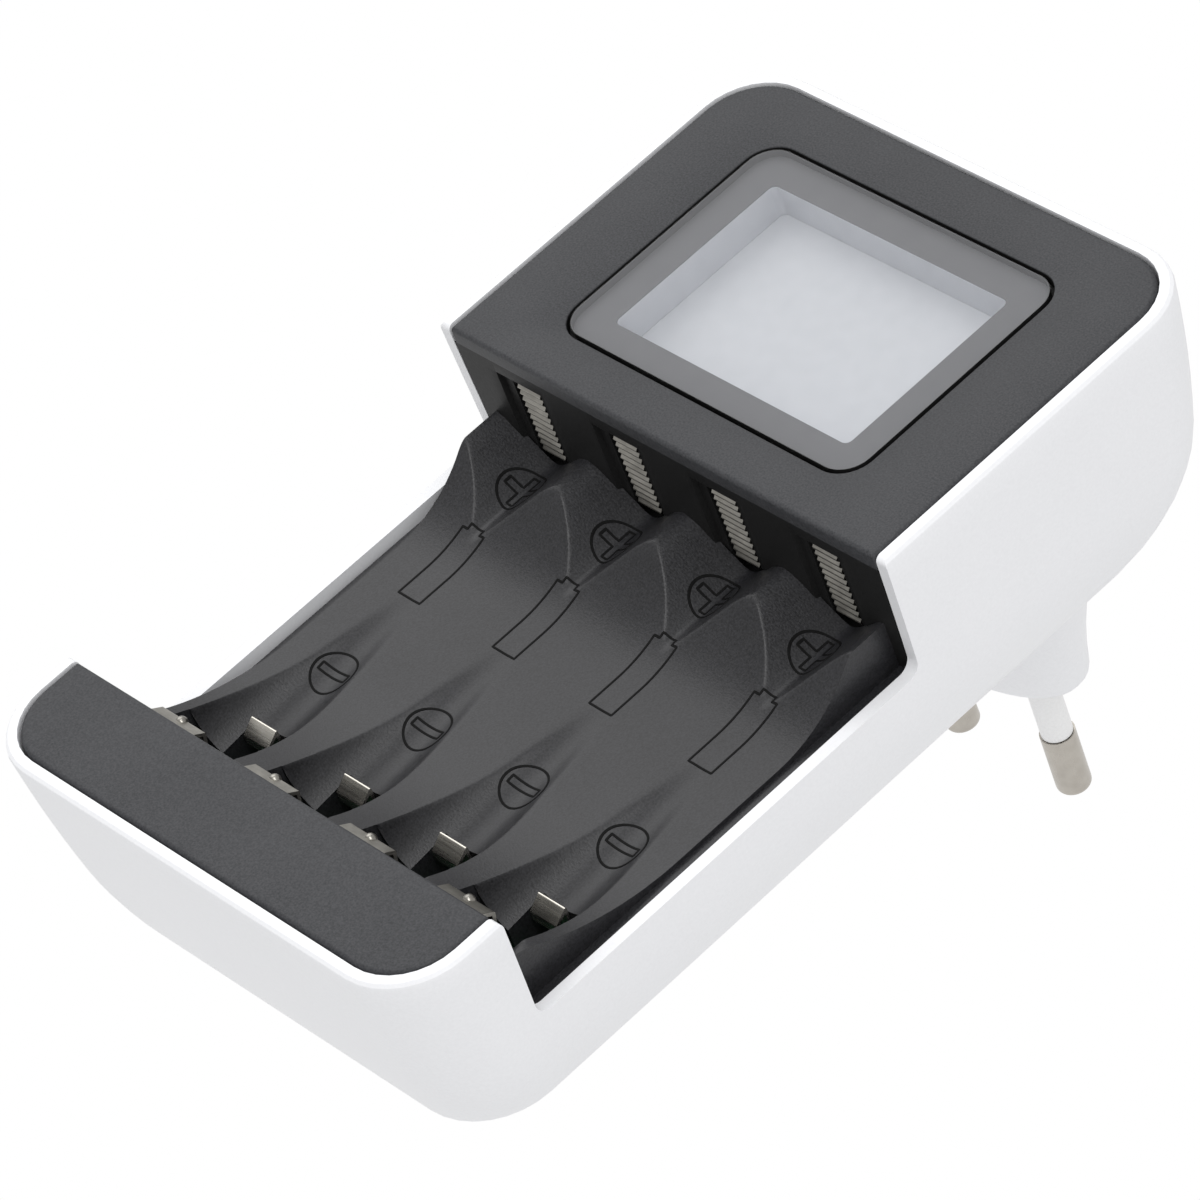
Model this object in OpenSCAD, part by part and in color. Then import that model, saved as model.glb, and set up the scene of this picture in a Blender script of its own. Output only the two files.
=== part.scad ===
// Plug-in charger for four AA or AAA cells, in millimetres with +Z up.
// The origin is the middle of the plug's engagement face, between the two pins.
// The bays run along Y, with the display at the +Y end and the lip at the -Y end.

/* [Cells] */
// Diameter of the larger cell
aa_diameter = 14.5; // [14:0.1:15]
// Length of the larger cell
aa_length = 50.5; // [49:0.1:52]
// Diameter of the smaller cell
aaa_diameter = 10.5; // [9.8:0.1:10.7]
// Length of the smaller cell
aaa_length = 44.5; // [43:0.1:45.5]
// Distance between neighbouring bays
bay_pitch = 15.2; // [15:0.1:16]

/* [Front cover] */
// Width of the dark cover beyond the outer bays, on each side
cover_side = 2.3; // [1.6:0.1:4.6]
// Length of the display bezel
display_length = 45.2; // [44:0.1:52]
// Length of the lip panel
lip_length = 11.8; // [10:0.1:16]
// Height of the display face above the lip panel
lip_drop = 1.6; // [0:0.1:3]
// Thickness of the cover's skin
skin = 2; // [1.6:0.1:2.6]
// Room for the contacts beyond the length of the larger cell
bay_room = 3.1; // [2.8:0.1:5]

/* [Battery tray] */
// Depth of the ridge tops below the display face
ridge_drop = 11; // [10:0.1:12.5]
// Depth of the tray floor below the display face
floor_drop = 16.4; // [16:0.1:17.2]
// Depth of the larger cell's axis below the display face
cell_drop = 6.8; // [6.3:0.1:7.2]
// Radial play of the larger cell in its cradle
cradle_play = 0.65; // [0.3:0.05:0.8]
// Radius of the ramp behind the plus ends
ramp_radius = 16; // [13:0.5:18]
// Distance from the step wall to the foot of the ramp
ramp_foot = 17.2; // [16:0.1:18.5]
// Distance from the step wall to where the scoops start
scoop_start = 22; // [20:0.5:24]
// Angle at which the smaller cell lies in its scoop
scoop_angle = 5.3; // [4.5:0.1:6]
// Radial play of the smaller cell in its scoop
scoop_play = 0.35; // [0.2:0.05:0.5]
// Distance from the step wall to where the floor starts to rise
rise_start = 31; // [29:0.5:33]
// Radius of the floor's rise towards the lip
rise_radius = 37; // [35:0.5:42]
// Height of the ledge around the contacts above the tray floor
ledge_lift = 1.4; // [1:0.1:1.8]
// Chamfer of the ridges' ends at the contacts
ridge_nose = 1.2; // [0.6:0.1:1.4]
// Width of the outer ridges beyond the outer cradles
outer_ridge = 0.5; // [0.3:0.1:0.8]
// Depth of the tray's side flanges below the display face
flange_drop = 16.9; // [16.4:0.1:18]
// Gap between a side flange and the line of the cover's sides
flange_gap = 0.45; // [0.3:0.05:0.6]

/* [Display] */
// Width of the lens
lens_width = 44.4; // [40:0.1:46]
// Length of the lens
lens_length = 31.4; // [28:0.1:33]
// Corner radius of the lens
lens_corner = 3.3; // [2:0.1:5]
// Thickness of the lens
lens_thickness = 1.3; // [1:0.1:1.5]
// Gap around the lens
lens_gap = 0.25; // [0.15:0.05:0.4]
// Distance from the step wall to the lens
lens_margin = 6.4; // [6:0.1:8]
// Width of the opening in the display frame
window_width = 36.6; // [32:0.1:37]
// Length of the opening in the display frame
window_length = 24.6; // [20:0.1:25]
// Depth of the display glass below the lens
lcd_depth = 3.7; // [3:0.1:4.5]
// Thickness of the display glass
lcd_thickness = 2.2; // [1.6:0.1:2.6]
// Thickness of the backlight
backlight_thickness = 2; // [1.5:0.1:2.5]

/* [Housing] */
// Wall of the housing
wall = 1.5; // [1.3:0.1:2]
// Gap between the cover and the housing's rim
seam = 0.15; // [0.1:0.05:0.3]
// Depth from the display face to the housing's back
body_depth = 30.4; // [30:0.2:36]
// Thickness of the housing's back
back = 2; // [1.6:0.1:2.6]
// Corner radius of the cover in plan
cover_corner = 7; // [5:0.1:9]
// Depth of the low rim beside the bays
rim_drop = 15.9; // [15:0.1:16.5]
// Rounding of the rim's outer edge
rim_round = 0.9; // [0.5:0.1:1.2]
// Inner corner radius of the low rim's ends
notch_round = 1.6; // [1:0.1:2.5]
// Rounding of the top corners at the low rim's ends
corner_ease = 0.8; // [0.4:0.1:1.2]
// Slope of the side walls
side_draft = 0.045; // [0.02:0.005:0.06]
// Bow of the side walls, per millimetre of depth
side_bow = 0.0008; // [0:0.0001:0.001]
// Slope of the display end
far_draft = 0.035; // [0.02:0.005:0.06]
// Bow of the display end, per millimetre of depth
far_bow = 0.005; // [0.002:0.0005:0.006]
// Slope of the lip end
lip_draft = 0.053; // [0.02:0.005:0.08]
// Bow of the lip end, per millimetre of depth
lip_bow = 0.0025; // [0:0.0005:0.004]
// Height of the rounding at the back edges
edge_height = 12; // [8:0.5:13]
// Reach of the rounding along the sides
edge_side = 5.1; // [3:0.1:6]
// Reach of the rounding at the display end
edge_far = 10.5; // [6:0.5:12]
// Reach of the rounding at the lip end
edge_lip = 2; // [1.5:0.1:4]

/* [Plug] */
// Distance from the step wall to the pins
plug_reach = 27.4; // [26:0.1:30]
// Height of the plug shroud
plug_height = 22.6; // [18:0.2:25]
// Half length of the engagement face
plug_half_length = 16.4; // [16:0.1:17.6]
// Half width of the engagement face
plug_half_width = 6.4; // [6:0.1:6.8]
// Rounding of the engagement face's edge
plug_round = 1.4; // [0.8:0.1:2]
// Thickness of the engagement face
plug_wall = 3; // [2.5:0.1:4]
// Diameter of a pin
pin_diameter = 4; // [3.9:0.01:4.1]
// Length of a pin
pin_length = 19; // [18.5:0.1:19.5]
// Rounding of a pin's tip
pin_round = 0.7; // [0.4:0.1:1]
// Distance between the pins at the engagement face
pin_spacing_root = 18.6; // [18:0.1:19.2]
// Distance between the pins at their tips
pin_spacing_tip = 17.5; // [17:0.1:18]
// Diameter of an insulating sleeve
sleeve_diameter = 3.6; // [3.4:0.05:3.8]
// Length of an insulating sleeve outside the plug
sleeve_length = 10.4; // [10:0.1:11]
// Gap around a sleeve in the engagement face
sleeve_gap = 0.15; // [0.1:0.05:0.25]
// Diameter of a pin inside its sleeve
core_diameter = 2.6; // [2.2:0.1:3]

/* [Contacts] */
// Thickness of the contact strip
strip = 0.4; // [0.3:0.05:0.5]
// Width of a positive contact
positive_width = 3.6; // [3:0.1:4]
// Pitch of the corrugations on a positive contact
corrugation = 0.9; // [0.7:0.05:1.2]
// Number of corrugations on a positive contact
corrugation_count = 11; // [8:1:13]
// Depth of the positive contacts' top below the display face
positive_drop = 4.4; // [3.6:0.1:5]
// Width of the recess around a positive contact
recess_width = 7.4; // [6:0.1:8]
// Depth of the recess around a positive contact
recess_depth = 0.6; // [0.4:0.1:1]
// Width of a large cell's negative contact
aa_contact_width = 7; // [5:0.1:9]
// Depth of a large cell's contact point below the display face
aa_contact_drop = 8.4; // [7.5:0.1:9]
// Width of a small cell's negative contact
aaa_contact_width = 4; // [3:0.1:5]
// Depth of a small cell's contact top below the display face
aaa_contact_drop = 16.1; // [15.9:0.1:17]
// Length of the folded top of a small cell's contact
fold_length = 1.9; // [1.6:0.1:2.4]
// Fall of the folded top towards the lip
fold_fall = 1.1; // [0.8:0.1:1.4]
// Room around the moving contacts
contact_room = 0.7; // [0.5:0.1:1]

/* [Boards] */
// Thickness of the main board
board_thickness = 1.6; // [1.2:0.1:2]
// Thickness of the control board
control_thickness = 1.2; // [0.8:0.1:1.6]
// Height of the main board above the inside of the back
board_stand = 3.2; // [2.5:0.1:4]
// Gap between a contact's root and the main board
contact_lift = 0.3; // [0.3:0.05:0.5]
// Gap between pieces that are fitted together
fit = 0.1; // [0.05:0.05:0.2]

/* [Screws] */
// Distance from the step wall to the screws under the display
screw_y = 5; // [4.6:0.1:5.2]
// Diameter of a housing screw
screw_diameter = 2.6; // [2.2:0.1:3]
// Diameter of a housing screw's head
screw_head = 4.6; // [4:0.1:5]
// Length of a housing screw under its head
screw_length = 8.5; // [8:0.5:10]
// Height of a housing screw's head
head_height = 1.8; // [1.4:0.1:2.2]
// Diameter of a control board screw
small_screw = 1.6; // [1.4:0.1:2]

/* [Hidden] */
$fn = 64;
bay_count = 4;
bay_length = aa_length + bay_room;
face_z = plug_height + body_depth;
cover_width = bay_count * bay_pitch + 2 * cover_side;
cover_half = cover_width / 2;
half_top = cover_half + seam + wall;
far_top = display_length + seam + wall;
lip_top = bay_length + lip_length + seam + wall;
body_corner = cover_corner + seam + wall;
corner_steps = 8;
cradle_radius = aa_diameter / 2 + cradle_play;
cradle_drop = cell_drop + cradle_radius;
cradle_mouth = sqrt(pow(cradle_radius, 2) - pow(ridge_drop - cell_drop, 2));
tray_half = bay_pitch * (bay_count - 1) / 2 + cradle_mouth + outer_ridge;
inside_back = body_depth - back;
board_top = inside_back - board_stand - board_thickness;
tray_lift = 1.3;
tray_bottom = board_top - tray_lift;
aa_press = 0.6;
aaa_press = 1.6;
aa_reach = aa_length - aa_press;
aaa_reach = aaa_length - aaa_press;
aa_root = aa_reach + 1.4;
pit_start = aaa_reach + 2.9;
pit_side = 2.2;
pit_half = aa_contact_width / 2 + pit_side;
scoop_radius = aaa_diameter / 2 + scoop_play;
lens_y = lens_margin + lens_length / 2;
lcd_top = lens_thickness + lcd_depth;
lcd_bottom = lcd_top + lcd_thickness;
control_top = lcd_bottom + backlight_thickness + 2 * fit;
frame_half_x = lens_width / 2 + 0.8;
frame_half_y = lens_length / 2 + 1.2;
screw_x = bay_pitch;
small_boss = small_screw / 2 + 1.2;
control_screw_x = frame_half_x + small_boss + 3 * fit;
control_half = control_screw_x + small_boss;
control_screw_y = [lens_y - 4.5, lens_y + 13.5];
pin_lean = atan((pin_spacing_root - pin_spacing_tip) / 2 / pin_length);
slot_width = positive_width + 0.9;
chip_height = 1.5;
part_clearance = 1.5;
part_room = board_top - control_top - control_thickness - chip_height - part_clearance;
contact_foot = -board_top + contact_lift + strip / 2;

// Bays are counted from the left, seen from the lip.
function bay_x(bay) = (bay - (bay_count + 1) / 2) * bay_pitch;

// Most pieces are placed from the top edge of the step wall, at the display face.
module at_step() {
    translate([0, -plug_reach, face_z])
        children();
}

// A profile drawn in Y and Z becomes a bar along X, centred on the middle plane.
module along_x(width) {
    rotate([90, 0, 90])
        translate([0, 0, -width / 2])
            linear_extrude(width)
                children();
}

// A box given by two opposite corners.
module block(low, high) {
    translate(low)
        cube(high - low);
}

// How far the walls have come in at a depth below the display face.
function rounding(d) = 1 - sqrt(max(0, 1 - pow(max(0, (d - body_depth + edge_height) / edge_height), 2)));
function side_in(d) = side_draft * d + side_bow * d * d + edge_side * rounding(d);
function far_in(d) = far_draft * d + far_bow * d * d + edge_far * rounding(d);
function lip_in(d) = lip_draft * d + lip_bow * d * d + edge_lip * rounding(d);

// The lip end of each ring sits lower, so that the rim meets the lip panel.
function sink(y) = y < -bay_length / 2 ? lip_drop : 0;
function lowered(p, d) = [p[0], p[1], -d - sink(p[1]) * (1 - max(d, 0) / body_depth)];

function arc(x, y, r, start) = [for (i = [0 : corner_steps])
    [x + r * cos(start + 90 * i / corner_steps), y + r * sin(start + 90 * i / corner_steps)]];

// One ring of the housing at a depth, moved in by an offset.
function ring(d, inward) =
    let (a = half_top - side_in(d) - inward)
    let (f = far_top - far_in(d) - inward)
    let (l = -lip_top + lip_in(d) + inward)
    let (r = max(body_corner - inward, 1))
    let (side = [-bay_length * 0.1, -bay_length * 0.7])
    let (points = concat(arc(a - r, f - r, r, 0), arc(r - a, f - r, r, 90), [[-a, side[0]], [-a, side[1]]],
        arc(r - a, l + r, r, 180), arc(a - r, l + r, r, 270), [[a, side[1]], [a, side[0]]]))
    [for (p = points) lowered(p, d)];

// A closed skin over rings that run from the top down, with a fan on each end.
module loft(rings) {
    n = len(rings[0]);
    last = len(rings) - 1;
    points = concat([for (r = rings) for (p = r) p], [centre(rings[0]), centre(rings[last])]);
    sides = [for (i = [0 : last - 1]) for (j = [0 : n - 1])
        let (a = i * n + j, b = i * n + (j + 1) % n)
        each [[a, b, b + n], [a, b + n, a + n]]];
    top = [for (j = [0 : n - 1]) [(j + 1) % n, j, n * (last + 1)]];
    bottom = [for (j = [0 : n - 1]) [last * n + j, last * n + (j + 1) % n, n * (last + 1) + 1]];
    polyhedron(points, concat(sides, top, bottom), convexity = 6);
}
function centre(points) = [for (k = [0 : 2]) sum([for (p = points) p[k]]) / len(points)];
function sum(values, i = 0) = i == len(values) ? 0 : values[i] + sum(values, i + 1);

edge_start = body_depth - edge_height;
function wall_depths(start) = [for (i = [0 : 6]) start + (edge_start - start) * i / 6];
function edge_depths(end) = [for (i = [1 : 9]) edge_start + (end - edge_start) * sin(10 * i)];

module housing_outside() {
    crown = [for (a = [0 : 30 : 60]) ring(rim_round * (1 - cos(a)), rim_round * (1 - sin(a)))];
    walls = [for (d = concat(wall_depths(rim_round), edge_depths(body_depth))) ring(d, 0)];
    loft(concat([ring(0, wall + 2)], crown, walls));
}

module housing_inside() {
    loft([for (d = concat([-4], wall_depths(0), edge_depths(inside_back))) ring(d, wall)]);
}

// The plug shroud flares from the engagement face to the housing's back.
function shroud_length(h) = plug_half_length + 0.13 * h + 0.0117 * h * h;
function shroud_width(h) = plug_half_width + 0.08 * h + 0.004 * h * h;
function rounded_power(v, p) = sign(v) * pow(abs(v), p);
function shroud_ring(h, inward) = [for (i = [0 : 47])
    let (t = 7.5 * i)
    let (u = rounded_power(cos(t), 0.9), v = rounded_power(sin(t), 0.9))
    [(shroud_length(h) - inward) * u, (shroud_width(h) - inward) * v, h]];

module shroud_outside() {
    flare = [for (i = [8 : -1 : 1]) shroud_ring(plug_round + (plug_height + 5 - plug_round) * i / 8, 0)];
    nose = [for (a = [0 : 22.5 : 90]) shroud_ring(plug_round * (1 - sin(a)), plug_round * (1 - cos(a)))];
    loft(concat(flare, nose));
}

module shroud_inside() {
    top = plug_height + back + fit;
    loft([for (i = [6 : -1 : 0]) shroud_ring(plug_wall + (top - plug_wall) * i / 6, back)]);
}

// The side walls are cut down beside the bays, with rounded ends.
module notch_profile() {
    far = 0;
    near = -bay_length + seam;
    translate([near + notch_round, -rim_drop])
        square([far - near - 2 * notch_round, rim_drop + 5]);
    translate([near, -rim_drop + notch_round])
        square([far - near, rim_drop + 5]);
    for (y = [near + notch_round, far - notch_round])
        translate([y, -rim_drop + notch_round])
            circle(notch_round);
    corner_cut(far, 0, 1);
    corner_cut(near, -lip_drop, -1);
}

// The waste outside a rounded corner, at the top of a wall's end.
module corner_cut(y, z, side) {
    difference() {
        translate([side > 0 ? y : y - corner_ease, z - corner_ease])
            square([corner_ease, corner_ease + 1]);
        translate([y + side * corner_ease, z - corner_ease])
            circle(corner_ease);
    }
}

lip_screw_y = -bay_length - lip_length / 3;
function screw_places() = [for (x = [-screw_x, screw_x]) for (y = [screw_y, lip_screw_y]) [x, y]];
post_end = tray_bottom + 1;
stand_radius = 2;
stand_rows = [-0.75, -0.2];
seat_thickness = 2.5;
boss_radius = screw_head / 2 + 1.2;
post_radius = screw_diameter / 2 + 1.1;
module rear_housing() {
    color("white") {
        difference() {
            union() {
                at_step()
                    housing_outside();
                shroud_outside();
            }
            at_step()
                housing_inside();
            shroud_inside();
            at_step()
                along_x(2 * half_top + 10)
                    notch_profile();
            at_step()
                for (p = screw_places())
                    translate([p[0], p[1], -body_depth - 1])
                        cylinder(r = screw_head / 2 + fit, h = body_depth + 1 - post_end - seat_thickness);
            for (side = [-1, 1])
                plug_axis(side)
                    translate([0, 0, -1])
                        cylinder(r = sleeve_diameter / 2 + sleeve_gap, h = plug_wall + 2);
        }
        at_step()
            for (p = screw_places())
                translate([p[0], p[1], 0])
                    screw_boss();
        at_step()
            for (x = [-1, 1], y = stand_rows)
                translate([x * bay_pitch, y * bay_length, -inside_back - back / 2])
                    cylinder(r = stand_radius, h = board_stand + back / 2);
    }
}

// A boss on the back holds a screw's head and meets the cover's post.
module screw_boss() {
    difference() {
        translate([0, 0, -inside_back - back / 2])
            cylinder(r = boss_radius, h = inside_back + back / 2 - post_end - fit);
        translate([0, 0, -body_depth])
            cylinder(r = screw_head / 2 + fit, h = body_depth - post_end - seat_thickness);
        translate([0, 0, -body_depth])
            cylinder(r = screw_diameter / 2 + fit, h = body_depth);
    }
}

// The frame of one pin, with its axis leaning in towards the tip.
module plug_axis(side) {
    translate([side * pin_spacing_root / 2, 0, 0])
        rotate([0, side * pin_lean, 0])
            children();
}

// Half the cover's width at a depth, inside the drafted walls.
function cover_half_at(d) = cover_half - side_in(d);

// The dark cover's top plates, with square inner edges and rounded outer corners.
module plate(length) {
    half = cover_half - side_in(skin);
    intersection() {
        translate([-half, 0])
            square([2 * half, length]);
        union() {
            translate([-half, 0])
                square([2 * half, length - cover_corner]);
            translate([cover_corner - half, 0])
                square([2 * (half - cover_corner), length]);
            for (side = [-1, 1])
                translate([side * (half - cover_corner), length - cover_corner])
                    circle(cover_corner);
        }
    }
}

module rounded_window(width, length, r) {
    square([width - 2 * r, length], center = true);
    square([width, length - 2 * r], center = true);
    for (x = [-1, 1], y = [-1, 1])
        translate([x * (width / 2 - r), y * (length / 2 - r)])
            circle(r);
}

module bezel() {
    difference() {
        translate([0, 0, -skin])
            linear_extrude(skin)
                plate(display_length - far_in(skin));
        translate([0, lens_y, -lens_thickness - fit])
            linear_extrude(skin)
                rounded_window(lens_width + 2 * lens_gap, lens_length + 2 * lens_gap, lens_corner + lens_gap);
        translate([0, lens_y, -skin - 1])
            linear_extrude(skin + 2)
                rounded_window(window_width + 3, window_length + 3, 1);
    }
}

module lip_panel() {
    translate([0, -bay_length, -lip_drop - skin])
        linear_extrude(skin)
            mirror([0, 1])
                plate(lip_length - lip_in(skin));
}

// A wall across the cover that follows the draft of the housing's sides.
module cross_wall(top, low) {
    depths = [for (i = [0 : 5]) top + (low - top) * i / 5];
    right = [for (d = depths) [cover_half_at(d), -d]];
    left = [for (i = [5 : -1 : 0]) [-cover_half_at(depths[i]), -depths[i]]];
    rotate([90, 0, 0])
        linear_extrude(skin)
            polygon(concat(right, left));
}

// The air over the tray floor: a ramp, a flat stretch and a long rise to the lip.
module floor_air() {
    translate([-rise_start, -floor_drop])
        square([rise_start - ramp_foot, floor_drop]);
    intersection() {
        translate([-ramp_foot, -floor_drop + ramp_radius])
            circle(ramp_radius, $fn = 128);
        translate([-ramp_foot, -floor_drop])
            square(ramp_radius);
    }
    intersection() {
        translate([-rise_start, -floor_drop + rise_radius])
            circle(rise_radius, $fn = 256);
        translate([-bay_length - 5, -floor_drop])
            square([bay_length + 5 - rise_start, floor_drop]);
    }
}

module cradle() {
    translate([0, 0.5, -cell_drop])
        rotate([90, 0, 0])
            cylinder(r = cradle_radius, h = bay_length, $fn = 96);
}

// A scoop is a tilted cylinder, so that the smaller cell's minus end lies lower.
module scoop() {
    lead = 3;
    run = pit_start + 1 - scoop_start;
    translate([0, -scoop_start, -floor_drop])
        rotate([90 + scoop_angle, 0, 0])
            translate([0, scoop_radius, -lead])
                cylinder(r = scoop_radius, h = run + lead, $fn = 96);
}

// Openings in the tray for the two negative contacts of a bay.
module contact_pit() {
    block([-pit_half, -bay_length + 0.01, -tray_bottom - 1], [pit_half, -pit_start, 0]);
    slot = aaa_contact_width / 2 + contact_room;
    slot_end = -aaa_reach + fold_length / 2 + contact_room;
    block([-slot, -pit_start - 1, -tray_bottom - 1], [slot, slot_end, -ridge_drop]);
}

// The air over the ledge, up to the chamfered ends of the ridges.
function floor_rise(y) = rise_radius - floor_drop - sqrt(pow(rise_radius, 2) - pow(y + rise_start, 2));
module trench_air() {
    ledge = -floor_drop + ledge_lift;
    foot = floor_rise(-pit_start) - ridge_nose;
    climb = 1 - ridge_drop - foot;
    polygon([[-bay_length, ledge], [-pit_start, ledge], [-pit_start, foot],
        [-pit_start + climb, foot + climb], [-bay_length, foot + climb]]);
}

module tray() {
    difference() {
        block([-tray_half, -bay_length - skin / 2, -tray_bottom], [tray_half, skin / 2, -ridge_drop]);
        along_x(2 * half_top)
            floor_air();
        for (bay = [1 : bay_count])
            translate([bay_x(bay), 0, 0]) {
                cradle();
                scoop();
                contact_pit();
            }
        along_x(2 * tray_half - skin)
            trench_air();
        block([-tray_half + skin, -scoop_start, -tray_bottom - 1],
            [tray_half - skin, -ramp_foot, -floor_drop - skin]);
    }
    for (side = [-1, 1])
        scale([side, 1, 1])
            block([tray_half - 0.5, -bay_length - skin / 2, -flange_drop - skin * 0.8],
                [cover_half_at(flange_drop) - flange_gap, skin / 2, -flange_drop]);
}

// Slots in the step wall let the positive contacts through.
module positive_slot() {
    top = positive_drop - 0.8;
    low = cradle_drop + 0.4;
    block([-recess_width / 2, -0.5, -cradle_drop], [recess_width / 2, recess_depth, -top]);
    block([-slot_width / 2, -0.5, -low], [slot_width / 2, skin + 1, -top - 0.6]);
}

// Posts for the housing screws; those behind the step wall end under the control board.
module cover_posts() {
    post_top = control_top + control_thickness + 1.5;
    for (p = screw_places()) {
        display_side = p[1] > 0;
        top = display_side ? post_top : lip_drop + skin - fit;
        translate([p[0], p[1], -post_end])
            difference() {
                union() {
                    cylinder(r = post_radius, h = post_end - top);
                    if (display_side)
                        block([-post_radius, skin / 2 - p[1], 0], [post_radius, 0, post_end - top]);
                }
                translate([0, 0, -1])
                    cylinder(r = screw_diameter / 2, h = screw_length + 0.5);
            }
    }
    for (x = [-control_screw_x, control_screw_x], y = control_screw_y)
        translate([x, y, -control_top])
            difference() {
                cylinder(r = small_boss, h = control_top - skin + fit);
                translate([0, 0, -1])
                    cylinder(r = small_screw / 2, h = 5);
            }
}

module front_cover() {
    color("dimgray")
        at_step() {
            difference() {
                union() {
                    bezel();
                    translate([0, skin, 0])
                        cross_wall(skin / 2, tray_bottom);
                    tray();
                }
                for (bay = [1 : bay_count])
                    translate([bay_x(bay), 0, 0])
                        positive_slot();
            }
            lip_panel();
            translate([0, -bay_length, 0])
                cross_wall(lip_drop + skin / 2, tray_bottom);
            cover_posts();
        }
}

module display_lens() {
    color("lightgray")
        at_step()
            translate([0, lens_y, -lens_thickness])
                linear_extrude(lens_thickness)
                    rounded_window(lens_width, lens_length, lens_corner);
}

// The frame hangs under the bezel and holds the glass and the backlight.
module lcd_frame() {
    pocket = [frame_half_x - 1.5, frame_half_y - 1.5];
    color("whitesmoke")
        at_step()
            translate([0, lens_y, 0])
                difference() {
                    block([-frame_half_x, -frame_half_y, -control_top + fit],
                        [frame_half_x, frame_half_y, -skin - fit]);
                    block([-window_width / 2, -window_length / 2, -control_top],
                        [window_width / 2, window_length / 2, 0]);
                    block([-pocket[0], -pocket[1], -control_top - 1], [pocket[0], pocket[1], -lcd_top + fit]);
                }
}

module lcd_glass() {
    color("silver")
        at_step()
            translate([0, lens_y, 0])
                block([-frame_half_x + 1.5 + fit, -frame_half_y + 1.5 + fit, -lcd_bottom],
                    [frame_half_x - 1.5 - fit, frame_half_y - 1.5 - fit, -lcd_top]);
}

module backlight() {
    color("ivory")
        at_step()
            translate([0, lens_y, 0])
                block([-frame_half_x + 1.5 + fit, -frame_half_y + 5, -lcd_bottom - fit - backlight_thickness],
                    [frame_half_x - 1.5 - fit, frame_half_y - 1.5 - fit, -lcd_bottom - fit]);
}

// A rubber strip joins the glass to the control board.
module lcd_connector() {
    color("gold")
        at_step()
            translate([0, lens_y, 0])
                block([-frame_half_x + 4, -frame_half_y + 2, -control_top + fit / 2],
                    [frame_half_x - 4, -frame_half_y + 4.5, -lcd_bottom - fit]);
}

module control_board() {
    color("green")
        at_step()
            difference() {
                block([-control_half, lens_y - frame_half_y, -control_top - control_thickness],
                    [control_half, lens_y + frame_half_y, -control_top]);
                for (x = [-control_screw_x, control_screw_x], y = control_screw_y)
                    translate([x, y, -control_top - 5])
                        cylinder(r = small_screw / 2 + fit, h = 10);
            }
}

module control_chip() {
    chip_half = 4;
    color("black")
        at_step()
            translate([-control_half / 3, lens_y, -control_top - control_thickness - chip_height])
                block([-chip_half, -chip_half, 0], [chip_half, chip_half, chip_height]);
}

module control_board_screws() {
    color("silver")
        at_step()
            for (x = [-control_screw_x, control_screw_x], y = control_screw_y)
                translate([x, y, -control_top - control_thickness]) {
                    translate([0, 0, -1.2])
                        cylinder(r = small_screw, h = 1.2);
                    cylinder(r = small_screw / 2 - fit / 2, h = control_thickness + 3);
                }
}

// The header's pins join the boards beside the transformer.
module board_header() {
    width = 2.4;
    near = lens_y - frame_half_y + 6;
    color("black")
        at_step()
            block([-control_half + 7, near, -board_top],
                [-control_half + 23, near + width, -control_top - control_thickness]);
}

// The main board lies under the bays and over the plug, with holes for the screw bosses.
module main_board() {
    near = -bay_length + 1;
    board_end_half = bay_x(bay_count) + positive_width / 2 + 1;
    color("darkgreen")
        at_step()
            translate([0, 0, -board_top - board_thickness])
                difference() {
                    union() {
                        block([-tray_half + 2, near, 0], [tray_half - 2, 2, board_thickness]);
                        block([-board_end_half, 0, 0], [board_end_half, plug_reach + 5, board_thickness]);
                    }
                    for (side = [-1, 1])
                        translate([side * screw_x, screw_y, -1])
                            cylinder(r = boss_radius + 0.4, h = board_thickness + 2);
                }
}

module on_board(x, y) {
    at_step()
        translate([x, y, -board_top])
            children();
}

// A taped winding on a bobbin, with a core through it.
module transformer() {
    flange = 2;
    color("goldenrod")
        on_board(8.5, plug_reach - 9.4) {
            block([-9, -7, 0], [9, 7, flange]);
            block([-6.5, -7.5, flange], [6.5, 7.5, part_room - 0.5]);
            block([-8.5, -3, flange], [8.5, 3, part_room]);
        }
}

module mains_capacitor() {
    color("midnightblue")
        on_board(-12, plug_reach - 13.4)
            translate([0, 0, part_room / 2])
                rotate([-90, 0, 0])
                    cylinder(r = part_room / 2, h = 16);
}

module output_capacitor() {
    radius = 3.2;
    length = 11;
    color("black")
        on_board(0, screw_y + 1)
            translate([-length / 2, 0, radius])
                rotate([0, 90, 0])
                    cylinder(r = radius, h = length);
}

module rectifier() {
    color("black")
        on_board(2, plug_reach + 1.6)
            block([-3.2, -2.4, 0], [3.2, 2.4, 2.5]);
}

module fuse() {
    radius = 1.9;
    length = 8;
    color("tan")
        on_board(12, plug_reach + 1.6)
            translate([-length / 2, 0, radius])
                rotate([0, 90, 0])
                    cylinder(r = radius, h = length);
}

// A lead rises from the root of each pin to the main board.
module pin_lead(side) {
    top = face_z - board_top - board_thickness;
    color("peru")
        translate([side * pin_spacing_root / 2, 0, 0])
            block([-1.5, 2.1, plug_wall + 1.4], [1.5, 2.6, top]);
}

module pin_lead_left() {
    pin_lead(-1);
}

module pin_lead_right() {
    pin_lead(1);
}

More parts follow.
